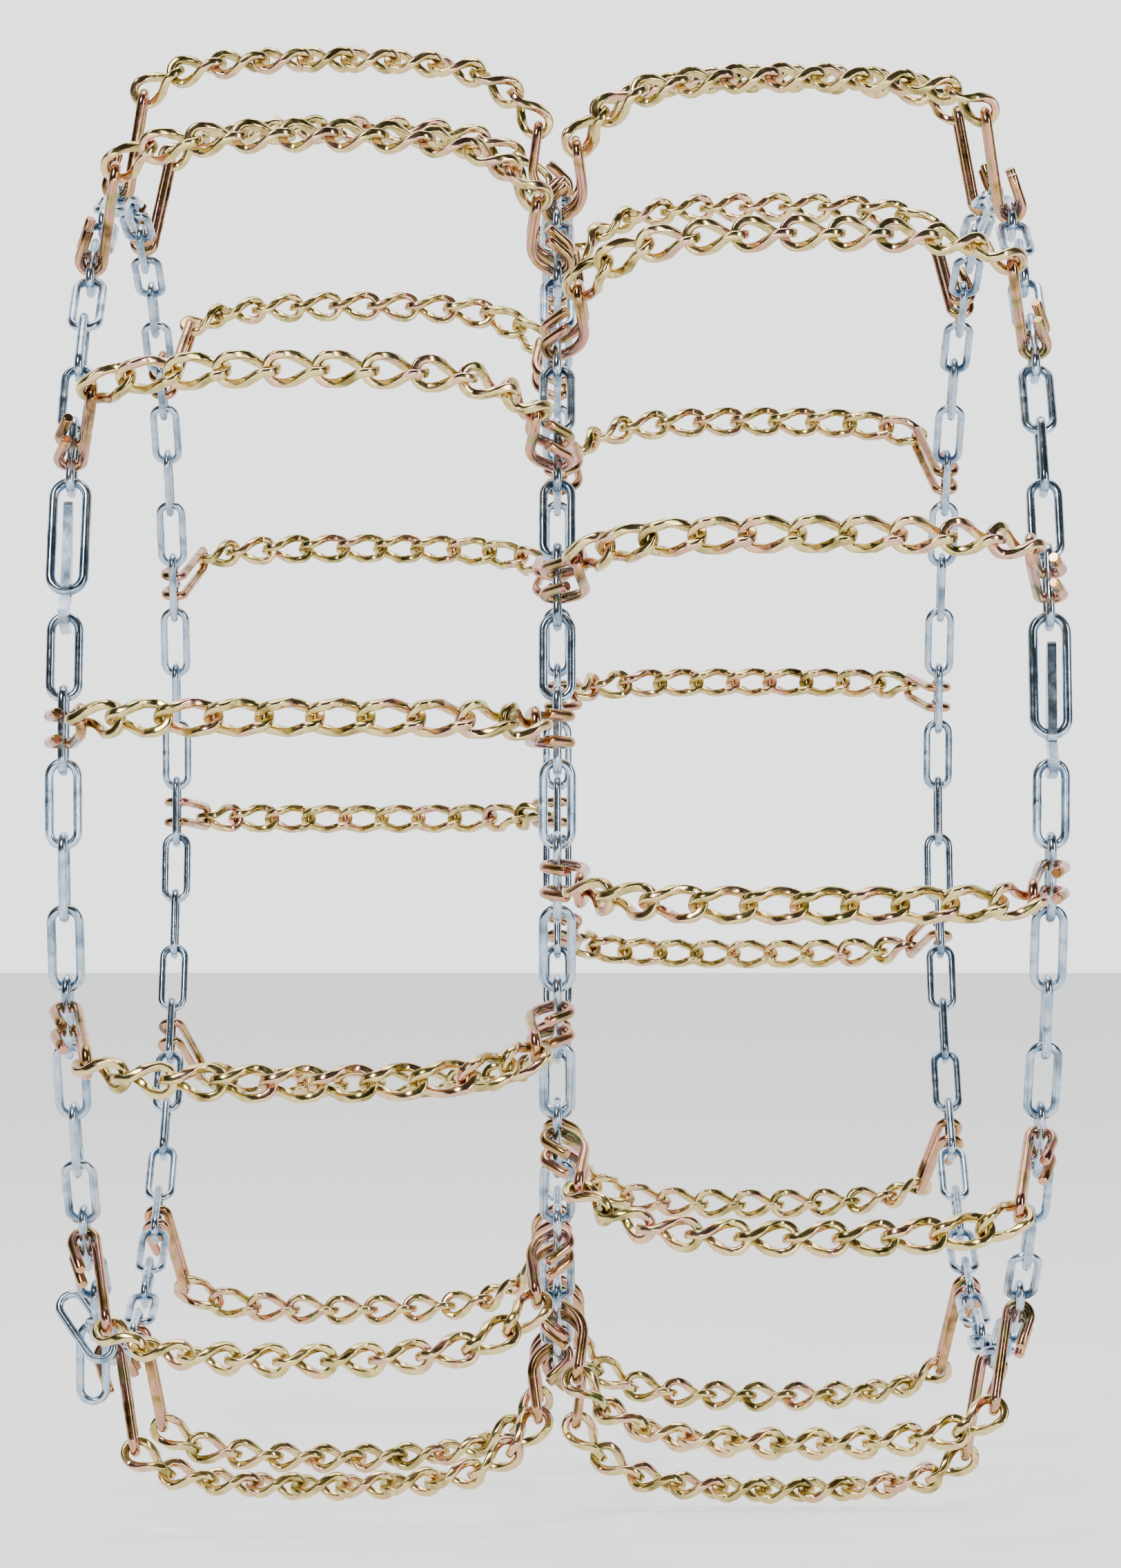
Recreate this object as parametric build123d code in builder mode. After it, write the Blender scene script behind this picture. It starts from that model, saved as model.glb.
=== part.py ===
from build123d import *
import os
from math import asin, atan2, cos, degrees, hypot, pi, radians, sin

# Triple-rail tyre chain set for dual truck wheels, in the shape it takes when worn.
# Origin: centre of the wheel axle, midway between the two tyres.
# +X along the axle, -Y towards the front of the wheels, +Z up. Millimetres.

# ---- driving dimensions -------------------------------------------------------
TYRE_SPACING = 343.0        # centre distance of the two tyres of a dual wheel
CROSS_CHAINS = 14           # cross chains round each tyre
LEFT_START = 4.0            # degrees above the front, first cross chain of the left tyre

SIDE_WIRE = 6.1             # round wire of the side chains
SIDE_PITCH = 49.0           # inner length of a side link
SIDE_WIDTH = 24.9           # outer width of a side link
SIDE_LINKS = 4 * CROSS_CHAINS
OUTER_CHAIN_X = 328.0       # distance of an outer side chain from the middle one

CROSS_WIRE = 6.4            # wire of the twisted cross links
CROSS_PITCH = 32.6
CROSS_WIDTH = 25.4          # outer width before twisting
TWIST = 43.0                # each bow is turned this far out of the link's plane
TWIST_SLOPE = 38.0          # slope of a side wire where it crosses the link's plane
TREAD_RADIUS = 540.0        # radius of the link line over the crown of the tread

HOOK_WIRE = 7.3
HOOK_LEGS = 17.5            # distance between the two legs of a hook

RING_WIRE = 6.6             # long ring of a fastener
RING_PITCH = 73.0           # inner length
RING_WIDTH = 29.0
LEVER_REACH = 25.0          # from the ring's inner end to the next link's inner end
LEVER_THICK = 6.0
LEVER_HANDLE = 62.0

GAP = 0.5                   # play between two wires that pull against each other
BEND_PLAY = 0.045           # more play for each degree that two twisted links bend

# ---- derived dimensions -------------------------------------------------------
BAY = 360.0 / CROSS_CHAINS
LINK_STEP = 360.0 / SIDE_LINKS
RIGHT_START = LEFT_START + BAY / 2
SIDE_RADIUS = SIDE_PITCH / (2 * sin(pi / SIDE_LINKS))
SIDE_BOW = (SIDE_WIDTH - SIDE_WIRE) / 2
NEAR_WIRE = SIDE_RADIUS * cos(pi / SIDE_LINKS) + SIDE_BOW
CROSS_BOW = (CROSS_WIDTH - CROSS_WIRE) / 2
CROSS_LENGTH = CROSS_PITCH + CROSS_WIRE + GAP
LEG = HOOK_LEGS / 2


def radial(angle):
    return Vector(0, -cos(radians(angle)), sin(radians(angle)))


def tangent(angle):
    return Vector(0, sin(radians(angle)), cos(radians(angle)))


def bay_location(angle, side=1):
    """Frame at one angle round the axle: X along the axle, Y round the wheel, Z outwards."""
    return Plane((0, 0, 0), x_dir=(side, 0, 0), z_dir=radial(angle)).location


# ---- wires --------------------------------------------------------------------
def biarc(start, start_dir, end, end_dir):
    """Middle point and its direction for two arcs that join two points smoothly."""
    chord = end - start
    total = start_dir + end_dir
    spread = 2 * (1 - start_dir.dot(end_dir))
    along = chord.dot(total)
    reach = (-along + (along**2 + spread * chord.dot(chord)) ** 0.5) / spread
    first = start + start_dir * reach
    last = end - end_dir * reach
    return (first + last) * 0.5, (last - first).normalized()


def oval_link(pitch, width, wire):
    """Plain link with straight sides, lying in XY with its length along X."""
    bow = (width - wire) / 2
    half = (pitch + wire + GAP) / 2 - bow
    corner = bow * sin(pi / 4)
    with BuildPart() as link:
        with BuildLine() as path:
            ThreePointArc((-half - bow, 0), (-half - corner, corner), (-half, bow))
            Line((-half, bow), (half, bow))
            ThreePointArc((half, bow), (half + corner, corner), (half + bow, 0))
        with BuildSketch(Plane((-half - bow, 0, 0), z_dir=(0, 1, 0))):
            Circle(wire / 2)
        sweep(path=path.wires()[0])
        mirror(about=Plane.XZ)
    return link.part


def twist_link():
    """Oval link of the cross chains, twisted about its length so that its bows cross."""
    half = CROSS_LENGTH / 2 - CROSS_BOW
    turn = radians(TWIST)
    rise = Vector(0, cos(turn), sin(turn))
    fall = Vector(0, cos(turn), -sin(turn))
    along = Vector(1, 0, 0)
    first = Vector(-half, 0, 0) + rise * CROSS_BOW
    middle = Vector(0, CROSS_BOW, 0)
    last = Vector(half, 0, 0) + fall * CROSS_BOW
    slope = Vector(cos(radians(TWIST_SLOPE)), 0, -sin(radians(TWIST_SLOPE)))
    joint_1, joint_1_dir = biarc(first, along, middle, slope)
    joint_2, joint_2_dir = biarc(middle, slope, last, along)
    corner = CROSS_BOW * sin(pi / 4)
    with BuildPart() as link:
        with BuildLine() as path:
            ThreePointArc(
                (-half - CROSS_BOW, 0, 0),
                Vector(-half - corner, 0, 0) + rise * corner,
                first,
            )
            TangentArc(first, joint_1, tangent=along)
            TangentArc(joint_1, middle, tangent=joint_1_dir)
            TangentArc(middle, joint_2, tangent=slope)
            TangentArc(joint_2, last, tangent=joint_2_dir)
            ThreePointArc(
                last,
                Vector(half + corner, 0, 0) + fall * corner,
                (half + CROSS_BOW, 0, 0),
            )
        with BuildSketch(Plane((-half - CROSS_BOW, 0, 0), z_dir=rise)):
            Circle(CROSS_WIRE / 2)
        sweep(path=path.wires()[0])
        add(link.part.rotate(Axis.X, 180))
    return link.part


# ---- cross chains -------------------------------------------------------------
# One row is laid out in its own frame: X along the axle, Y round the wheel, Z outwards.
# Headings of its links above the axle direction, from the outer shoulder to the inner one.
HEADINGS = (32, 11, 5, 2, 0, -2, -5, -12, -31, -50)
CROWN_LINK = 4              # this link lies on the middle of the tread
# Roll of each link about its own length, so that the end bows cross the hooks' bows.
ROLLS = (43, 27, 13, 4, 0, 0, -4, -13, -27, -43)


def joint_reach(index):
    """Distance from the joint before a link to the wire centre of that link's bow."""
    turn = 0
    if 0 < index < len(HEADINGS):
        turn = HEADINGS[index - 1] - HEADINGS[index]
    play = GAP + BEND_PLAY * turn
    return (CROSS_WIRE + play) / 2 / cos(radians(turn) / 2)


def row_layout():
    """Joint points of one cross chain and the plane of each of its links."""
    steps = []
    for index, heading in enumerate(HEADINGS):
        length = CROSS_LENGTH - joint_reach(index) - joint_reach(index + 1)
        steps.append(Vector(cos(radians(heading)), 0, sin(radians(heading))) * length)
    crown = Vector(-TYRE_SPACING / 2, 0, TREAD_RADIUS)
    start = crown - sum(steps[:CROWN_LINK], Vector()) - steps[CROWN_LINK] * 0.5
    joints = [start]
    planes = []
    for index, step in enumerate(steps):
        along = step.normalized()
        centre = joints[-1] + along * (CROSS_LENGTH / 2 - joint_reach(index))
        out = along.cross(Vector(0, 1, 0))
        roll = radians(ROLLS[index])
        flat = out * cos(roll) - Vector(0, 1, 0) * sin(roll)
        planes.append(Plane(centre, x_dir=along, z_dir=flat))
        joints.append(joints[-1] + step)
    return joints, planes


ROW_JOINTS, ROW_PLANES = row_layout()


# ---- hooks --------------------------------------------------------------------
def hook(origin, outward, apex, arcs, tip):
    """Cross chain hook: one wire bent double, whose two legs curl round a side link.

    The legs are drawn in (out, up) about the side link's wire. apex is the wire's centre in
    the eye, arcs are (centre, radius, end heading) in order, tip is the last straight.
    """

    def at(point, y):
        return Vector(origin[0] + outward * point[0], y, origin[1] + point[1])

    def on_arc(centre, radius, heading):
        turn = radians(heading)
        return centre[0] + radius * sin(turn), centre[1] - radius * cos(turn)

    (first_out, first_up), first_radius, _ = arcs[0]
    away_out = first_out - apex[0]
    away_up = first_up - apex[1]
    lean = asin(first_radius / hypot(away_out, away_up))
    heading = degrees(atan2(away_up, away_out) - lean)
    ahead = (cos(radians(heading)), sin(radians(heading)))
    bow = (apex[0] + ahead[0] * LEG, apex[1] + ahead[1] * LEG)
    corner = LEG * (1 - sin(pi / 4))
    shoulder = (apex[0] + ahead[0] * corner, apex[1] + ahead[1] * corner)
    with BuildPart() as wire:
        with BuildLine() as path:
            ThreePointArc(at(apex, 0), at(shoulder, LEG * sin(pi / 4)), at(bow, LEG))
            place = bow
            for centre, radius, end_heading in arcs:
                start = on_arc(centre, radius, heading)
                middle = on_arc(centre, radius, (heading + end_heading) / 2)
                end = on_arc(centre, radius, end_heading)
                if hypot(start[0] - place[0], start[1] - place[1]) > 0.01:
                    Line(at(place, LEG), at(start, LEG))
                ThreePointArc(at(start, LEG), at(middle, LEG), at(end, LEG))
                place, heading = end, end_heading
            far = (place[0] + tip * cos(radians(heading)), place[1] + tip * sin(radians(heading)))
            Line(at(place, LEG), at(far, LEG))
        with BuildSketch(Plane(at(apex, 0), z_dir=(0, 1, 0))):
            Circle(HOOK_WIRE / 2)
        sweep(path=path.wires()[0])
        mirror(about=Plane.XZ)
    return wire.part


def beside(centre, radius, heading, next_radius, straight=0.0):
    """Centre of the next arc of a bend that turns the same way after a straight."""
    turn = radians(heading)
    swing = next_radius - radius
    return (
        centre[0] + straight * cos(turn) - swing * sin(turn),
        centre[1] + straight * sin(turn) + swing * cos(turn),
    )


def eye(joint, inwards, origin, outward):
    """Wire centre of a hook's eye, which lies inside the bow of the last cross link."""
    apex = joint + inwards * ((HOOK_WIRE + GAP) / 2)
    return (apex.X - origin[0]) * outward, apex.Z - origin[1]


OUTER_CURL = 8.0            # radius of the wire's centre line round the outer side chains
OUTER_FLARE = 60.0          # heading where the curl opens
OUTER_BEND = 10.0
OUTER_TIP_HEADING = 110.0
OUTER_TIP = 22.0
INNER_CURL = 8.5
INNER_HEADING = -35.0       # the legs pass behind the middle chain on this heading
INNER_BEND = 20.0
INNER_STRAIGHT = 6.0
INNER_TIP_HEADING = 137.0
INNER_TIP = 17.0

outer_origin = (-OUTER_CHAIN_X, NEAR_WIRE)
outer_eye = eye(ROW_JOINTS[0], ROW_PLANES[0].x_dir, outer_origin, -1)
outer_bend = beside((0, 0), OUTER_CURL, OUTER_FLARE, OUTER_BEND)
outer_arcs = (
    ((0, 0), OUTER_CURL, OUTER_FLARE),
    (outer_bend, OUTER_BEND, OUTER_TIP_HEADING),
)
outer_hook = hook(outer_origin, -1, outer_eye, outer_arcs, OUTER_TIP)

inner_origin = (0, NEAR_WIRE)
inner_eye = eye(ROW_JOINTS[-1], -ROW_PLANES[-1].x_dir, inner_origin, 1)
inner_bend = beside((0, 0), INNER_CURL, INNER_HEADING, INNER_BEND, -INNER_STRAIGHT)
inner_arcs = (
    (inner_bend, INNER_BEND, INNER_HEADING),
    ((0, 0), INNER_CURL, INNER_TIP_HEADING),
)
inner_hook = hook(inner_origin, 1, inner_eye, inner_arcs, INNER_TIP)
cross_link = twist_link()
side_link = oval_link(SIDE_PITCH, SIDE_WIDTH, SIDE_WIRE)


# ---- side chains --------------------------------------------------------------
def side_link_plane(x, angle, edge_on):
    """Plane of one side link, length round the wheel, flat side along the axle or across it."""
    flat = Vector(1, 0, 0) if edge_on else radial(angle)
    centre = Vector(x, 0, 0) + radial(angle) * (SIDE_RADIUS * cos(pi / SIDE_LINKS))
    return Plane(centre, x_dir=tangent(angle), z_dir=flat)


def side_links(x, start, numbers):
    """The links with these numbers; every even one stands edge-on and can carry hooks."""
    planes = [side_link_plane(x, start + k * LINK_STEP, k % 2 == 0) for k in numbers]
    return [side_link.moved(plane.location) for plane in planes]


# ---- fasteners ----------------------------------------------------------------
RING_STEP = 2 * degrees(asin(RING_PITCH / (2 * SIDE_RADIUS)))
LEVER_STEP = 2 * degrees(asin(LEVER_REACH / (2 * SIDE_RADIUS)))
EYE_HOLE = RING_WIRE / 2 + 1.4
EYE_RADIUS = 9.2
CATCH = LEVER_REACH - (RING_WIRE + SIDE_WIRE + 2 * GAP) / 2     # ring wire to caught link wire
SLOT_HALF = SIDE_WIRE / 2 + 1.4
CROOK_WALL = 6.5
CROOK_TIP = -118.0          # direction of the crook's tip, behind the caught link
CROOK_HEEL = -42.0          # direction where its outer edge leaves the circle round the eye
HANDLE_END = 4.0            # radius of the handle's rounded end
HANDLE_LIFT = 2.0           # its end stands this far out from the chain


def ring_plane(x, top_angle):
    """Plane of a fastener's long ring, which hangs from the vertex at top_angle."""
    angle = top_angle - RING_STEP / 2
    centre = Vector(x, 0, 0) + radial(angle) * (SIDE_RADIUS * cos(radians(RING_STEP / 2)))
    return Plane(centre, x_dir=tangent(angle), z_dir=radial(angle))


def lever_plane(x, top_angle):
    """Plane of a fastener's lever: origin in the ring's lower bow, X outwards, Y up the chain."""
    ring = ring_plane(x, top_angle)
    pivot = ring.origin - ring.x_dir * ((RING_PITCH + RING_WIRE + GAP) / 2)
    angle = top_angle - RING_STEP - LEVER_STEP / 2
    return Plane(pivot, x_dir=radial(angle), z_dir=(-1, 0, 0))


def cam_lever():
    """Tension lever: a handle, an eye on the ring and a crook under the next link's bow."""
    inner = CATCH + SLOT_HALF
    outer = inner + CROOK_WALL
    tip = radians(CROOK_TIP)
    heel = radians(CROOK_HEEL)
    with BuildPart() as lever:
        with BuildSketch() as profile:
            Circle(EYE_RADIUS)
            with Locations((HANDLE_LIFT, LEVER_HANDLE - HANDLE_END)):
                Circle(HANDLE_END)
            make_hull()
            with BuildLine():
                Line((outer * cos(heel), outer * sin(heel)), (EYE_HOLE, 0))
                Polyline((EYE_HOLE, 0), (0, 0), (0, -inner))
                CenterArc((0, 0), inner, -90, CROOK_TIP + 90)
                Line((inner * cos(tip), inner * sin(tip)), (outer * cos(tip), outer * sin(tip)))
                CenterArc((0, 0), outer, CROOK_TIP, CROOK_HEEL - CROOK_TIP)
            make_face()
            fillet(profile.vertices().sort_by(Axis.Y)[:2], CROOK_WALL / 3)
            Circle(EYE_HOLE, mode=Mode.SUBTRACT)
            with Locations((0, -CATCH)):
                Circle(SLOT_HALF, mode=Mode.SUBTRACT)
        extrude(amount=LEVER_THICK / 2, both=True)
    return lever.part


# ---- loose links of the left chain --------------------------------------------
LOOSE_NUMBER = -11          # the chain link that carries them
LOOSE_TILT = 55.0           # the upper loose link leans this far out of the chain's face
LOOSE_SLIP = 13.0           # they hang this far up and down from the middle of that link


def loose_planes():
    """Planes of the two loose links, both hung on the outboard side of one chain link."""
    angle = LEFT_START + LOOSE_NUMBER * LINK_STEP
    wire = side_link_plane(-OUTER_CHAIN_X, angle, False).origin - Vector(SIDE_BOW, 0, 0)
    lean = radians(LOOSE_TILT)
    along = Vector(1, 0, 0) * cos(lean) + radial(angle) * sin(lean)
    down = radial(angle) * cos(lean) - Vector(1, 0, 0) * sin(lean)
    upper_at = wire + tangent(angle) * LOOSE_SLIP + down * (SIDE_BOW - SIDE_WIRE - GAP)
    upper = Plane(upper_at, x_dir=along, z_dir=tangent(angle))
    apex_rise = (SIDE_WIRE + GAP) / abs(sin(radians(angle)))
    drop = (SIDE_PITCH + SIDE_WIRE + GAP) / 2 - apex_rise
    lower_at = wire - tangent(angle) * LOOSE_SLIP - Vector(0, 0, drop)
    lower = Plane(lower_at, x_dir=(0, 0, 1), z_dir=(0, -1, 0))
    return upper, lower


# ---- nodes --------------------------------------------------------------------
def write(part, name):
    part.label = name
    export_step(part, f"parts/{name}.step")


os.makedirs("parts", exist_ok=True)
BAYS = range(CROSS_CHAINS)
SIDES = {"left": (LEFT_START, 1), "right": (RIGHT_START, -1)}

for side_name, (start, side) in SIDES.items():
    for bay in BAYS:
        place = bay_location(start + bay * BAY, side)
        with BuildPart() as cross_chain:
            add([cross_link.moved(place * plane.location) for plane in ROW_PLANES])
        write(cross_chain.part, f"cross_chain_{side_name}_{bay + 1:02d}")
    places = [bay_location(start + bay * BAY, side) for bay in BAYS]
    with BuildPart() as outer_hooks:
        add([outer_hook.moved(place) for place in places])
    write(outer_hooks.part, f"outer_hooks_{side_name}")
    with BuildPart() as inner_hooks:
        add([inner_hook.moved(place) for place in places])
    write(inner_hooks.part, f"inner_hooks_{side_name}")

# Each fastener takes the place of two links, counted from the chain's first hook link.
CHAINS = {
    "left": (-OUTER_CHAIN_X, LEFT_START, (2, 3)),
    "middle": (0.0, LEFT_START, ()),
    "right": (OUTER_CHAIN_X, RIGHT_START, (-2, -1)),
}
QUARTER = SIDE_LINKS // 4

for chain_name, (chain_x, start, missing) in CHAINS.items():
    for turn, quarter_name in enumerate(("front", "top", "rear", "bottom")):
        first_link = QUARTER * turn - QUARTER // 2
        numbers = [k for k in range(first_link, first_link + QUARTER) if k not in missing]
        with BuildPart() as side_chain:
            add(side_links(chain_x, start, numbers))
        write(side_chain.part, f"side_chain_{chain_name}_{quarter_name}")

long_ring = oval_link(RING_PITCH, RING_WIDTH, RING_WIRE)
lever = cam_lever()
for chain_name in ("left", "right"):
    chain_x, start, missing = CHAINS[chain_name]
    top_angle = start + (missing[-1] + 0.5) * LINK_STEP
    with BuildPart() as fastener_ring:
        add(long_ring.moved(ring_plane(chain_x, top_angle).location))
    write(fastener_ring.part, f"fastener_ring_{chain_name}")
    with BuildPart() as fastener_lever:
        add(lever.moved(lever_plane(chain_x, top_angle).location))
    write(fastener_lever.part, f"fastener_lever_{chain_name}")

upper_plane, lower_plane = loose_planes()
with BuildPart() as loose_link_upper:
    add(side_link.moved(upper_plane.location))
write(loose_link_upper.part, "loose_link_upper")
with BuildPart() as loose_link_lower:
    add(side_link.moved(lower_plane.location))
write(loose_link_lower.part, "loose_link_lower")
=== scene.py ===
from math import asin, atan2, cos, degrees, hypot, pi, radians, sin

import bpy
import numpy as np
from mathutils import Matrix, Vector


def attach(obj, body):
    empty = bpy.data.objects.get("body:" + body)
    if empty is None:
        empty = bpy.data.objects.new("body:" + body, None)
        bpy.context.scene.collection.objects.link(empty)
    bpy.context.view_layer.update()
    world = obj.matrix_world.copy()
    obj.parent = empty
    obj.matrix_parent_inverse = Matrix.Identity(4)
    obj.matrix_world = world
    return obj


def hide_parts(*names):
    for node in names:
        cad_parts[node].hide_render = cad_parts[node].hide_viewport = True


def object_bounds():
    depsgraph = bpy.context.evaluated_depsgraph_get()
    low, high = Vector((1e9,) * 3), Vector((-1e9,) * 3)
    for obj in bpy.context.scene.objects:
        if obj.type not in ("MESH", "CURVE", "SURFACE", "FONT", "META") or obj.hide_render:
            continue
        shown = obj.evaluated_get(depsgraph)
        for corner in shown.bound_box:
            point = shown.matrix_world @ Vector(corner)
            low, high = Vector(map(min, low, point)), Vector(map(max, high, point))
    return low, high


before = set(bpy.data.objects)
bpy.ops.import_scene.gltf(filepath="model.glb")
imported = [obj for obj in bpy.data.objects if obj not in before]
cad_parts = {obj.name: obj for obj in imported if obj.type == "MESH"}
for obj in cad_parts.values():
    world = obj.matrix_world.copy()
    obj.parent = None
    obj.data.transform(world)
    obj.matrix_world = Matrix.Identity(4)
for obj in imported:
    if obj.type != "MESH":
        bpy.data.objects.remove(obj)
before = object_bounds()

# Triple-rail tyre chain set for dual truck wheels. Metres; origin on the wheel axle,
# +X along the axle, -Y to the front, +Z up.

MM = 0.001

# ---- driving dimensions -------------------------------------------------------
TYRE_SPACING = 343 * MM
CROSS_CHAINS = 14
LEFT_START = 4.0
SIDE_WIRE = 6.1 * MM
SIDE_PITCH = 49 * MM
SIDE_WIDTH = 24.9 * MM
SIDE_LINKS = 4 * CROSS_CHAINS
OUTER_CHAIN_X = 328 * MM
CROSS_WIRE = 6.4 * MM
CROSS_PITCH = 32.6 * MM
CROSS_WIDTH = 25.4 * MM
TWIST = 43.0
TREAD_RADIUS = 540 * MM
HOOK_WIRE = 7.3 * MM
HOOK_LEGS = 17.5 * MM
RING_WIRE = 6.6 * MM
RING_PITCH = 73 * MM
RING_WIDTH = 29 * MM
GAP = 0.5 * MM
BEND_PLAY = 0.045 * MM
HEADINGS = (32, 11, 5, 2, 0, -2, -5, -12, -31, -50)
ROLLS = (43, 27, 13, 4, 0, 0, -4, -13, -27, -43)
CROWN_LINK = 4

BAY = 360 / CROSS_CHAINS
LINK_STEP = 360 / SIDE_LINKS
RIGHT_START = LEFT_START + BAY / 2
SIDE_RADIUS = SIDE_PITCH / (2 * sin(pi / SIDE_LINKS))
SIDE_BOW = (SIDE_WIDTH - SIDE_WIRE) / 2
NEAR_WIRE = SIDE_RADIUS * cos(pi / SIDE_LINKS) + SIDE_BOW
CROSS_BOW = (CROSS_WIDTH - CROSS_WIRE) / 2
CROSS_LENGTH = CROSS_PITCH + CROSS_WIRE + GAP
RING_STEP = 2 * degrees(asin(RING_PITCH / (2 * SIDE_RADIUS)))


def radial(angle):
    return Vector((0, -cos(radians(angle)), sin(radians(angle))))


def tangent(angle):
    return Vector((0, sin(radians(angle)), cos(radians(angle))))


def placed(origin, x_dir, z_dir):
    """Matrix of a frame with that origin, X direction and Z direction."""
    y_dir = z_dir.cross(x_dir)
    turn = Matrix((x_dir, y_dir, z_dir)).transposed().to_4x4()
    return Matrix.Translation(origin) @ turn


def bay_matrix(angle, side):
    return placed(Vector(), Vector((side, 0, 0)), radial(angle))


# ---- wires --------------------------------------------------------------------
def round_section(wire, count=16):
    """Points of a round wire's section, as (outwards, across)."""
    turns = np.arange(count) * 2 * pi / count
    return np.stack([np.cos(turns), np.sin(turns)], axis=1) * wire / 2


def square_section(wire, corner, steps=4):
    """A square section with rounded corners, as the drawn wire of the cross links has."""
    flat = wire / 2 - corner
    points = []
    for quarter in range(4):
        for step in range(steps):
            turn = (quarter + step / (steps - 1)) * pi / 2
            middle = (quarter + 0.5) * pi / 2
            points.append((
                np.sign(cos(middle)) * flat + corner * cos(turn),
                np.sign(sin(middle)) * flat + corner * sin(turn),
            ))
    return np.array(points)


def stadium(pitch, width, wire, count):
    """Centre line of a flat link in XY, its outward normals, and the run along it."""
    bow = (width - wire) / 2
    half = (pitch + wire + GAP) / 2 - bow
    length = 4 * half + 2 * pi * bow
    points = []
    normals = []
    runs = []
    for index in range(count):
        run = index / count * length
        if run < 2 * half:
            points.append((half - run, bow, 0))
            normals.append((0, 1, 0))
        elif run < 2 * half + pi * bow:
            turn = pi / 2 + (run - 2 * half) / bow
            points.append((-half + bow * cos(turn), bow * sin(turn), 0))
            normals.append((cos(turn), sin(turn), 0))
        elif run < 4 * half + pi * bow:
            points.append((run - 2 * half - pi * bow - half, -bow, 0))
            normals.append((0, -1, 0))
        else:
            turn = -pi / 2 + (run - 4 * half - pi * bow) / bow
            points.append((half + bow * cos(turn), bow * sin(turn), 0))
            normals.append((cos(turn), sin(turn), 0))
        runs.append(run - half)
    return np.array(points), np.array(normals), np.array(runs)


def carry(points, normals, section, closed, scale=None):
    """Vertices and faces of a section carried along a line."""
    if closed:
        ahead = np.roll(points, -1, axis=0) - np.roll(points, 1, axis=0)
    else:
        ahead = np.gradient(points, axis=0)
    ahead /= np.linalg.norm(ahead, axis=1, keepdims=True)
    out = normals - ahead * np.sum(ahead * normals, axis=1, keepdims=True)
    out /= np.linalg.norm(out, axis=1, keepdims=True)
    across = np.cross(ahead, out)
    if scale is None:
        scale = np.ones(len(points))
    size = scale[:, None, None]
    rings = (
        points[:, None, :]
        + out[:, None, :] * section[None, :, 0, None] * size
        + across[:, None, :] * section[None, :, 1, None] * size
    )
    around = len(section)
    total = len(points)
    faces = []
    for ring in range(total if closed else total - 1):
        low = ring * around
        high = (ring + 1) % total * around
        for side in range(around):
            turn = (side + 1) % around
            faces.append((low + side, low + turn, high + turn, high + side))
    if not closed:
        faces.append(tuple(reversed(range(around))))
        faces.append(tuple(range((total - 1) * around, total * around)))
    return rings.reshape(-1, 3), faces


def weld_scale(runs, bulge, width):
    """A wire's swelling at the butt weld in the middle of one straight side."""
    return 1 + bulge * np.exp(-((runs / width) ** 2))


def side_link(pitch=SIDE_PITCH, width=SIDE_WIDTH, wire=SIDE_WIRE, count=72):
    points, normals, runs = stadium(pitch, width, wire, count)
    return carry(points, normals, round_section(wire), True, weld_scale(runs, 0.07, 2.2 * MM))


def twist_link(count=84):
    """A cross link: a flat oval of square wire, twisted about its length."""
    points, normals, runs = stadium(CROSS_PITCH, CROSS_WIDTH, CROSS_WIRE, count)
    reach = 1.25 * (CROSS_LENGTH / 2 - CROSS_BOW)
    share = np.clip(points[:, 0] / reach, -1, 1)
    turns = -radians(TWIST) * (1.5 * share - 0.5 * share**3)
    for line in (points, normals):
        across = line[:, 1].copy()
        line[:, 1] = across * np.cos(turns)
        line[:, 2] = across * np.sin(turns)
    section = square_section(CROSS_WIRE * 0.955, 1.7 * MM)
    return carry(points, normals, section, True, weld_scale(runs, 0.08, 1.5 * MM))


def joined(shape, matrices):
    """One shape repeated at each of the matrices."""
    verts, faces = shape
    all_verts = []
    all_faces = []
    for index, matrix in enumerate(matrices):
        array = np.array(matrix)
        all_verts.append(verts @ array[:3, :3].T + array[:3, 3])
        base = index * len(verts)
        all_faces.extend(tuple(base + corner for corner in face) for face in faces)
    return np.concatenate(all_verts), all_faces


def mesh_of(name, shape):
    mesh = bpy.data.meshes.new(name)
    mesh.from_pydata(shape[0].tolist(), [], shape[1])
    mesh.polygons.foreach_set("use_smooth", [len(face) <= 4 for face in shape[1]])
    mesh.update()
    return mesh


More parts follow.
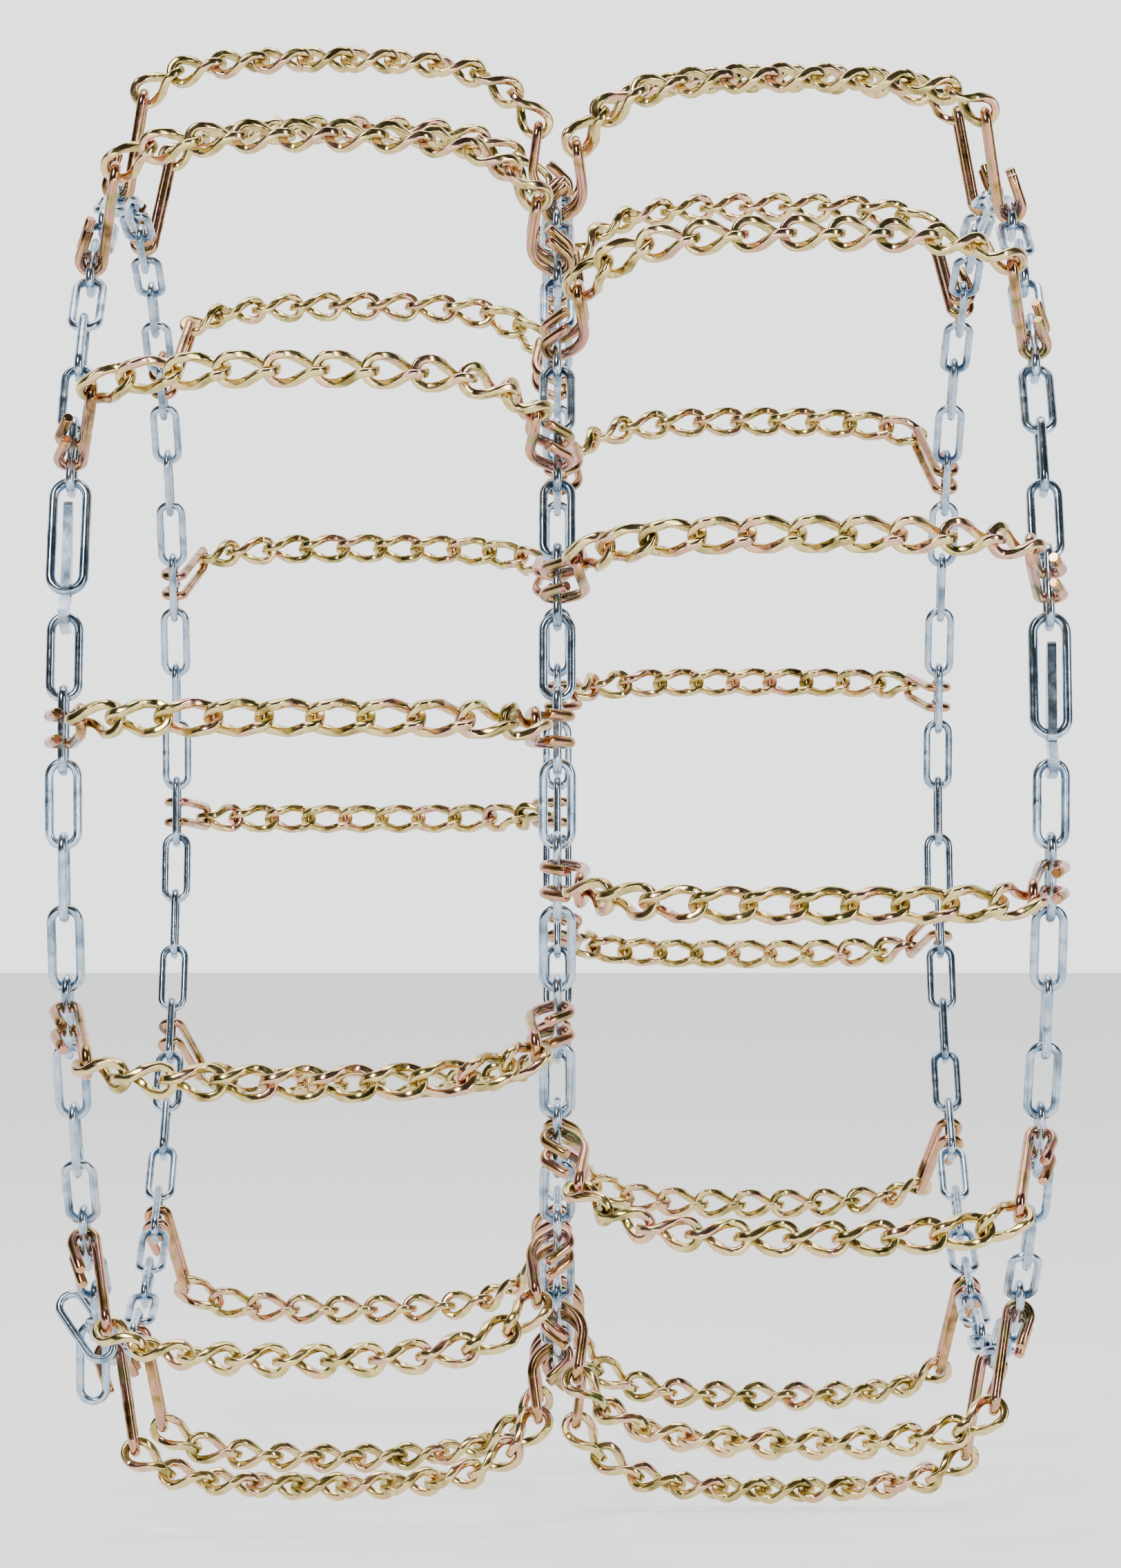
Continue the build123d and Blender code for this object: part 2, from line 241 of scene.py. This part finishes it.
# ---- materials ----------------------------------------------------------------
class Nodes:
    """Short names for making a node material."""

    def __init__(self, name):
        self.material = bpy.data.materials.new(name)
        self.material.use_nodes = True
        self.tree = self.material.node_tree
        self.shader = self.tree.nodes["Principled BSDF"]

    def add(self, kind, **values):
        node = self.tree.nodes.new(kind)
        for key, value in values.items():
            setattr(node, key, value)
        return node

    def link(self, source, target):
        self.tree.links.new(source, target)

    def place(self):
        """Object coordinates, shifted differently on every piece."""
        where = self.add("ShaderNodeTexCoord")
        info = self.add("ShaderNodeObjectInfo")
        shift = self.add("ShaderNodeVectorMath", operation="SCALE")
        shift.inputs[0].default_value = (3.1, 1.7, 2.3)
        self.link(info.outputs["Random"], shift.inputs["Scale"])
        total = self.add("ShaderNodeVectorMath", operation="ADD")
        self.link(where.outputs["Object"], total.inputs[0])
        self.link(shift.outputs[0], total.inputs[1])
        return total.outputs[0]

    def noise(self, place, scale, detail=3.0, rough=0.55, distortion=0.0):
        node = self.add("ShaderNodeTexNoise")
        node.inputs["Scale"].default_value = scale
        node.inputs["Detail"].default_value = detail
        node.inputs["Roughness"].default_value = rough
        node.inputs["Distortion"].default_value = distortion
        self.link(place, node.inputs["Vector"])
        return node.outputs["Fac"]

    def ramp(self, factor, stops):
        node = self.add("ShaderNodeValToRGB")
        ramp = node.color_ramp
        while len(ramp.elements) < len(stops):
            ramp.elements.new(0.5)
        for element, (position, colour) in zip(ramp.elements, stops):
            element.position = position
            element.color = (*colour, 1)
        self.link(factor, node.inputs["Fac"])
        return node.outputs["Color"]

    def spread(self, factor, low, high):
        node = self.add("ShaderNodeMapRange")
        node.inputs["From Min"].default_value = 0.3
        node.inputs["From Max"].default_value = 0.7
        node.inputs["To Min"].default_value = low
        node.inputs["To Max"].default_value = high
        self.link(factor, node.inputs["Value"])
        return node.outputs["Result"]

    def bump(self, height, distance, strength=1.0):
        node = self.add("ShaderNodeBump")
        node.inputs["Strength"].default_value = strength
        node.inputs["Distance"].default_value = distance
        self.link(height, node.inputs["Height"])
        self.link(node.outputs["Normal"], self.shader.inputs["Normal"])


def plated(name, stops, scale, roughness):
    """Plated steel wire whose colour drifts through the stops along and round the wire."""
    nodes = Nodes(name)
    place = nodes.place()
    drift = nodes.noise(place, scale, 2.5, 0.5, 0.6)
    nodes.link(nodes.ramp(drift, stops), nodes.shader.inputs["Base Color"])
    nodes.shader.inputs["Metallic"].default_value = 1.0
    cloudy = nodes.noise(place, scale * 4, 3.0, 0.6)
    nodes.link(nodes.spread(cloudy, *roughness), nodes.shader.inputs["Roughness"])
    nodes.bump(nodes.noise(place, scale * 9, 4.0, 0.6), 0.00012, 0.5)
    return nodes.material


YELLOW_ZINC = (
    (0.30, (0.25, 0.19, 0.06)),
    (0.40, (0.50, 0.40, 0.15)),
    (0.48, (0.66, 0.53, 0.23)),
    (0.56, (0.66, 0.46, 0.23)),
    (0.64, (0.60, 0.33, 0.25)),
    (0.74, (0.38, 0.40, 0.15)),
)
COPPERY_ZINC = (
    (0.30, (0.12, 0.06, 0.03)),
    (0.41, (0.38, 0.23, 0.09)),
    (0.49, (0.54, 0.30, 0.16)),
    (0.56, (0.52, 0.23, 0.20)),
    (0.64, (0.36, 0.30, 0.11)),
    (0.74, (0.22, 0.12, 0.06)),
)
BLUE_ZINC = (
    (0.32, (0.14, 0.20, 0.27)),
    (0.45, (0.29, 0.38, 0.48)),
    (0.58, (0.46, 0.55, 0.64)),
    (0.70, (0.32, 0.43, 0.54)),
)

link_metal = plated("yellow_zinc_links", YELLOW_ZINC, 42, (0.13, 0.24))
hook_metal = plated("coppery_zinc_hooks", COPPERY_ZINC, 40, (0.12, 0.24))
side_metal = plated("blue_zinc_chain", BLUE_ZINC, 50, (0.15, 0.27))
lever_metal = plated("blue_zinc_levers", BLUE_ZINC, 40, (0.20, 0.34))


def piece(name, mesh, matrix, body, slot, material, *nodes):
    thing = bpy.data.objects.new(name, mesh)
    bpy.context.scene.collection.objects.link(thing)
    thing.matrix_world = matrix
    if not mesh.materials:
        mesh.materials.append(material)
    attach(thing, body)
    if nodes:
        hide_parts(*nodes)
    return thing


# ---- cross chains -------------------------------------------------------------
def joint_reach(index):
    turn = 0
    if 0 < index < len(HEADINGS):
        turn = HEADINGS[index - 1] - HEADINGS[index]
    play = GAP + BEND_PLAY * turn
    return (CROSS_WIRE + play) / 2 / cos(radians(turn) / 2)


def row_layout():
    """Joint points of one cross chain and the frame of each link, in the row's own frame."""
    steps = []
    for index, heading in enumerate(HEADINGS):
        length = CROSS_LENGTH - joint_reach(index) - joint_reach(index + 1)
        steps.append(Vector((cos(radians(heading)), 0, sin(radians(heading)))) * length)
    crown = Vector((-TYRE_SPACING / 2, 0, TREAD_RADIUS))
    joints = [crown - sum(steps[:CROWN_LINK], Vector()) - steps[CROWN_LINK] * 0.5]
    frames = []
    for index, step in enumerate(steps):
        along = step.normalized()
        centre = joints[-1] + along * (CROSS_LENGTH / 2 - joint_reach(index))
        across = Vector((0, 1, 0))
        roll = radians(ROLLS[index])
        flat = along.cross(across) * cos(roll) - across * sin(roll)
        frames.append(placed(centre, along, flat))
        joints.append(joints[-1] + step)
    return joints, frames


ROW_JOINTS, ROW_FRAMES = row_layout()
SIDES = {"left": (LEFT_START, 1), "right": (RIGHT_START, -1)}
row_mesh = mesh_of("cross_row", joined(twist_link(), ROW_FRAMES))

for side_name, (start, side) in SIDES.items():
    for bay in range(CROSS_CHAINS):
        node = f"cross_chain_{side_name}_{bay + 1:02d}"
        matrix = bay_matrix(start + bay * BAY, side)
        piece(f"{node}_links", row_mesh, matrix, node, "cross_links", link_metal, node)


# ---- hooks --------------------------------------------------------------------
def beside(centre, radius, heading, next_radius, straight=0.0):
    turn = radians(heading)
    swing = next_radius - radius
    return (
        centre[0] + straight * cos(turn) - swing * sin(turn),
        centre[1] + straight * sin(turn) + swing * cos(turn),
    )


def hook(origin, outward, apex, arcs, tip):
    """A cross chain hook: one wire bent double, its two legs curled round a side link."""
    (first_out, first_up), first_radius, _ = arcs[0]
    away = (first_out - apex[0], first_up - apex[1])
    heading = degrees(atan2(away[1], away[0]) - asin(first_radius / hypot(*away)))
    ahead = (cos(radians(heading)), sin(radians(heading)))
    leg = HOOK_LEGS / 2
    line = []
    for step in range(13):
        turn = step / 12 * pi / 2
        reach = leg * (1 - cos(turn))
        line.append((apex[0] + ahead[0] * reach, apex[1] + ahead[1] * reach, leg * sin(turn)))
    for centre, radius, end_heading in arcs:
        steps = max(4, round(abs(end_heading - heading) / 9))
        for step in range(steps + 1):
            turn = radians(heading + (end_heading - heading) * step / steps)
            point = (centre[0] + radius * sin(turn), centre[1] - radius * cos(turn), leg)
            if hypot(point[0] - line[-1][0], point[1] - line[-1][1]) > 0.05 * MM:
                line.append(point)
        heading = end_heading
    ahead = (cos(radians(heading)), sin(radians(heading)))
    end = line[-1]
    for reach in (0.5 * tip, tip - 0.9 * MM, tip):
        line.append((end[0] + ahead[0] * reach, end[1] + ahead[1] * reach, leg))
    far_leg = [(out, up, -across) for out, up, across in reversed(line[1:])]
    both = far_leg + line
    points = np.array([(origin[0] + outward * a, c, origin[1] + b) for a, b, c in both])
    scale = np.ones(len(points))
    scale[0] = 0.84
    scale[-1] = 0.84
    ahead = np.gradient(points, axis=0)
    ahead /= np.linalg.norm(ahead, axis=1, keepdims=True)
    normals = [np.array((outward, 0.0, 0.4))]
    for direction in ahead:
        turned = normals[-1] - direction * np.dot(direction, normals[-1])
        normals.append(turned / np.linalg.norm(turned))
    return carry(points, np.array(normals[1:]), round_section(HOOK_WIRE, 18), False, scale)


def eye(joint, inwards, origin, outward):
    apex = joint + inwards * ((HOOK_WIRE + GAP) / 2)
    return (apex.x - origin[0]) * outward, apex.z - origin[1]


OUTER_CURL = 8 * MM
OUTER_BEND = 10 * MM
OUTER_FLARE = 60.0
OUTER_TIP_HEADING = 110.0
OUTER_TIP = 22 * MM
INNER_CURL = 8.5 * MM
INNER_BEND = 20 * MM
INNER_HEADING = -35.0
INNER_STRAIGHT = 6 * MM
INNER_TIP_HEADING = 137.0
INNER_TIP = 17 * MM

outer_origin = (-OUTER_CHAIN_X, NEAR_WIRE)
outer_bend = beside((0, 0), OUTER_CURL, OUTER_FLARE, OUTER_BEND)
outer_hook = hook(
    outer_origin,
    -1,
    eye(ROW_JOINTS[0], ROW_FRAMES[0].col[0].to_3d(), outer_origin, -1),
    (((0, 0), OUTER_CURL, OUTER_FLARE), (outer_bend, OUTER_BEND, OUTER_TIP_HEADING)),
    OUTER_TIP,
)
inner_origin = (0, NEAR_WIRE)
inner_bend = beside((0, 0), INNER_CURL, INNER_HEADING, INNER_BEND, -INNER_STRAIGHT)
inner_hook = hook(
    inner_origin,
    1,
    eye(ROW_JOINTS[-1], -ROW_FRAMES[-1].col[0].to_3d(), inner_origin, 1),
    ((inner_bend, INNER_BEND, INNER_HEADING), ((0, 0), INNER_CURL, INNER_TIP_HEADING)),
    INNER_TIP,
)
HOOKS = {
    "outer": mesh_of("outer_hook", outer_hook),
    "inner": mesh_of("inner_hook", inner_hook),
}
for kind, mesh in HOOKS.items():
    for side_name, (start, side) in SIDES.items():
        for bay in range(CROSS_CHAINS):
            name = f"{kind}_hook_{side_name}_{bay + 1:02d}"
            matrix = bay_matrix(start + bay * BAY, side)
            node = f"{kind}_hooks_{side_name}"
            piece(name, mesh, matrix, "side_chains", "hooks", hook_metal, node)


# ---- side chains --------------------------------------------------------------
def side_frame(x, angle, edge_on):
    flat = Vector((1, 0, 0)) if edge_on else radial(angle)
    centre = Vector((x, 0, 0)) + radial(angle) * (SIDE_RADIUS * cos(pi / SIDE_LINKS))
    return placed(centre, tangent(angle), flat)


CHAINS = {
    "left": (-OUTER_CHAIN_X, LEFT_START, (2, 3)),
    "middle": (0.0, LEFT_START, ()),
    "right": (OUTER_CHAIN_X, RIGHT_START, (-2, -1)),
}
QUARTER = SIDE_LINKS // 4
link_shape = side_link()
for chain_name, (chain_x, start, missing) in CHAINS.items():
    for turn, quarter_name in enumerate(("front", "top", "rear", "bottom")):
        first = QUARTER * turn - QUARTER // 2
        numbers = [k for k in range(first, first + QUARTER) if k not in missing]
        frames = [side_frame(chain_x, start + k * LINK_STEP, k % 2 == 0) for k in numbers]
        node = f"side_chain_{chain_name}_{quarter_name}"
        mesh = mesh_of(node, joined(link_shape, frames))
        piece(f"{node}_links", mesh, Matrix(), "side_chains", "side_links", side_metal, node)

# ---- fasteners and loose links ------------------------------------------------
ring_mesh = mesh_of("long_ring", side_link(RING_PITCH, RING_WIDTH, RING_WIRE, 80))
for chain_name in ("left", "right"):
    chain_x, start, missing = CHAINS[chain_name]
    angle = start + (missing[-1] + 0.5) * LINK_STEP - RING_STEP / 2
    out = radial(angle)
    centre = Vector((chain_x, 0, 0)) + out * (SIDE_RADIUS * cos(radians(RING_STEP / 2)))
    node = f"fastener_ring_{chain_name}"
    matrix = placed(centre, tangent(angle), out)
    piece(f"{node}_wire", ring_mesh, matrix, "side_chains", "side_links", side_metal, node)
    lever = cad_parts[f"fastener_lever_{chain_name}"]
    lever.data.materials.clear()
    lever.data.materials.append(lever_metal)
    bevel = lever.modifiers.new("worn_edges", "BEVEL")
    bevel.width = 0.9 * MM
    bevel.segments = 3
    bevel.limit_method = "ANGLE"
    bevel.angle_limit = radians(50)

LOOSE_NUMBER = -11
LOOSE_TILT = 55.0
LOOSE_SLIP = 13 * MM
loose_mesh = mesh_of("loose_link", link_shape)
angle = LEFT_START + LOOSE_NUMBER * LINK_STEP
wire_at = side_frame(-OUTER_CHAIN_X, angle, False).to_translation() - Vector((SIDE_BOW, 0, 0))
lean = radians(LOOSE_TILT)
along = Vector((cos(lean), 0, 0)) + radial(angle) * sin(lean)
down = radial(angle) * cos(lean) - Vector((sin(lean), 0, 0))
upper_at = wire_at + tangent(angle) * LOOSE_SLIP + down * (SIDE_BOW - SIDE_WIRE - GAP)
drop = (SIDE_PITCH + SIDE_WIRE + GAP) / 2 - (SIDE_WIRE + GAP) / abs(sin(radians(angle)))
lower_at = wire_at - tangent(angle) * LOOSE_SLIP - Vector((0, 0, drop))
LOOSE = {
    "loose_link_upper": placed(upper_at, along, tangent(angle)),
    "loose_link_lower": placed(lower_at, Vector((0, 0, 1)), Vector((0, -1, 0))),
}
for node, matrix in LOOSE.items():
    piece(f"{node}_wire", loose_mesh, matrix, node, "side_links", side_metal, node)

# ---- stage --------------------------------------------------------------------
FLOOR = before[0][2] - 0.004
bpy.ops.mesh.primitive_plane_add(size=14, location=(0, 2, FLOOR))
floor = bpy.context.object
floor.name = "floor"
floor_nodes = Nodes("pale_floor")
floor_nodes.shader.inputs["Base Color"].default_value = (0.86, 0.86, 0.85, 1)
floor_nodes.shader.inputs["Emission Color"].default_value = (0.97, 0.98, 1.0, 1)
floor_nodes.shader.inputs["Emission Strength"].default_value = 0.75
floor_nodes.shader.inputs["Roughness"].default_value = 0.85
floor.data.materials.append(floor_nodes.material)


def soft_light(name, place, target, width, height, power, colour=(1, 1, 1)):
    data = bpy.data.lights.new(name, "AREA")
    data.shape = "RECTANGLE"
    data.size = width
    data.size_y = height
    data.energy = power
    data.color = colour
    light = bpy.data.objects.new(name, data)
    bpy.context.scene.collection.objects.link(light)
    light.location = place
    aim = Vector(target) - Vector(place)
    light.rotation_euler = aim.to_track_quat("-Z", "Y").to_euler()
    return light


soft_light("key", (-1.6, -2.8, 2.4), (0, 0, 0), 0.9, 1.4, 95)
soft_light("fill", (2.6, -2.4, 0.8), (0, 0, 0), 0.6, 2.0, 55, (0.94, 0.97, 1.0))
soft_light("top", (0, 0.2, 3.0), (0, 0, 0), 2.4, 1.6, 70)
soft_light("low", (0.2, -2.8, -0.2), (0, 0, -0.1), 2.4, 0.2, 14)

world = bpy.data.worlds.new("studio")
bpy.context.scene.world = world
world.use_nodes = True
sky = world.node_tree
where = sky.nodes.new("ShaderNodeTexCoord")
split = sky.nodes.new("ShaderNodeSeparateXYZ")
sky.links.new(where.outputs["Generated"], split.inputs[0])
depth = sky.nodes.new("ShaderNodeMapRange")
depth.inputs["From Min"].default_value = 0.1
depth.inputs["From Max"].default_value = 0.75
depth.inputs["To Min"].default_value = 0.05
depth.inputs["To Max"].default_value = 2.4
sky.links.new(split.outputs["Y"], depth.inputs["Value"])
back = sky.nodes["Background"]
back.inputs["Color"].default_value = (0.97, 0.98, 1.0, 1)
sky.links.new(depth.outputs["Result"], back.inputs["Strength"])

# ---- camera -------------------------------------------------------------------
camera_data = bpy.data.cameras.new("camera")
camera_data.sensor_fit = "VERTICAL"
camera_data.sensor_height = 36
camera_data.lens = 101
camera_data.shift_x = 0.002
camera_data.shift_y = -0.005
camera = bpy.data.objects.new("camera", camera_data)
bpy.context.scene.collection.objects.link(camera)
camera.location = (0, -3.358, 0)
camera.rotation_euler = (pi / 2, 0, 0)
bpy.context.scene.camera = camera
